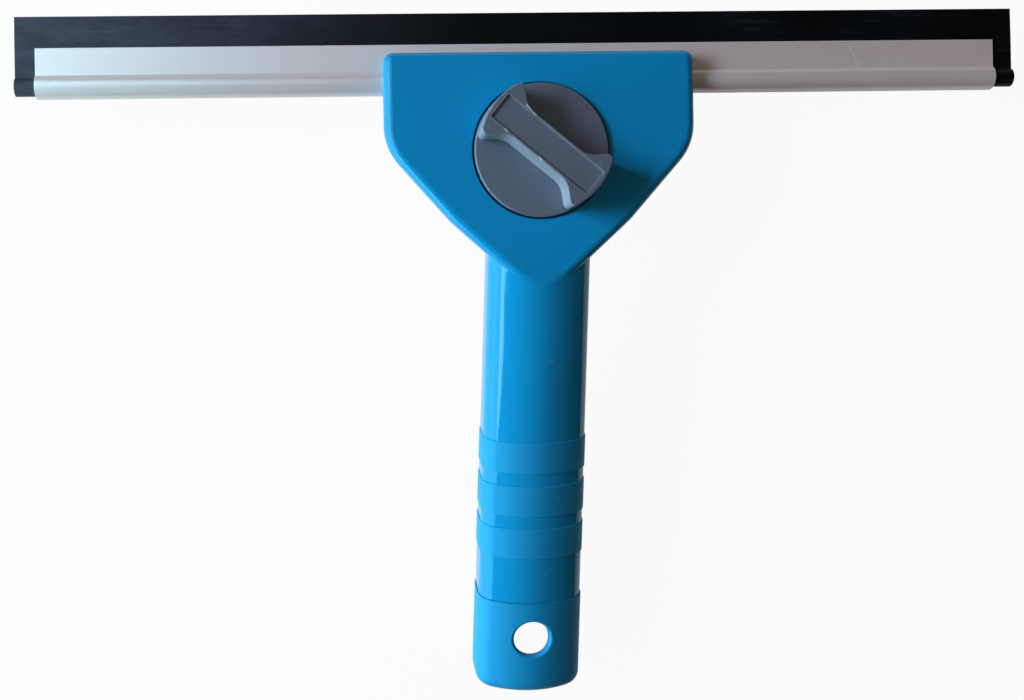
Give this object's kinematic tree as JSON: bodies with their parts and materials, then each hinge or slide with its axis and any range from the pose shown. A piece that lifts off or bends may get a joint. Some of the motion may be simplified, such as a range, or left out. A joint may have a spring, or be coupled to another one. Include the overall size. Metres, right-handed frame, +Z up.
{
  "type": "window squeegee",
  "caption": "Hand window squeegee: rubber blade in an aluminium rail that a turn knob clamps in the head of a hollow, ringed plastic grip with a hanging eye.",
  "frame": {"origin": "middle of the tool's footprint on the table it lies on, at table height", "axes": "+X along the blade, +Y from the grip towards the blade, +Z up out of the table towards the knob"},
  "size_m": [0.35, 0.2497, 0.0499],
  "materials": {
    "blue_plastic": "glossy, with satin bands",
    "grey_plastic": "matte, fine moulded grain",
    "steel": "bright zinc",
    "washer_plastic": "natural nylon",
    "aluminium": "satin, drawn lines along its length",
    "rubber": "matte black"
  },
  "bodies": {
    "handle": {"handle": "blue_plastic", "end_cap": "blue_plastic", "back_cover": "blue_plastic", "cover_screws": "steel", "guide_pins": "steel", "thrust_washer": "washer_plastic"},
    "knob": {"knob": "grey_plastic", "knob_strip": "grey_plastic", "clamp_stud": "steel", "backing_washer": "steel", "retaining_clip": "steel"},
    "jaw": {"clamp_jaw": "grey_plastic", "jaw_pad": "rubber", "clamp_nut": "steel"},
    "rail": {"rail": "aluminium"},
    "blade": {"rubber_blade": "rubber"}
  },
  "joints": [
    {"name": "knob_turn", "type": "hinge", "parent": "handle", "child": "knob", "pos_m": [0.0055, 0.07769, 0.03362], "axis": [0, 0.1819, 0.9833], "range_deg": [0, 450]},
    {"name": "jaw_slide", "type": "slide", "parent": "handle", "child": "jaw", "axis": [0, -0.1819, -0.9833], "range_m": [0, 0.00156]},
    {"name": "rail_slide", "type": "slide", "parent": "handle", "child": "rail", "axis": [1, 0, 0], "range_m": [-0.2, 0.2]},
    {"name": "blade_slide", "type": "slide", "parent": "rail", "child": "blade", "axis": [1, 0, 0], "range_m": [-0.3, 0.3]}
  ],
  "couplings": [
    {"joint": "knob_turn", "follows": "jaw_slide", "rad_per_m": 5026.5}
  ]
}
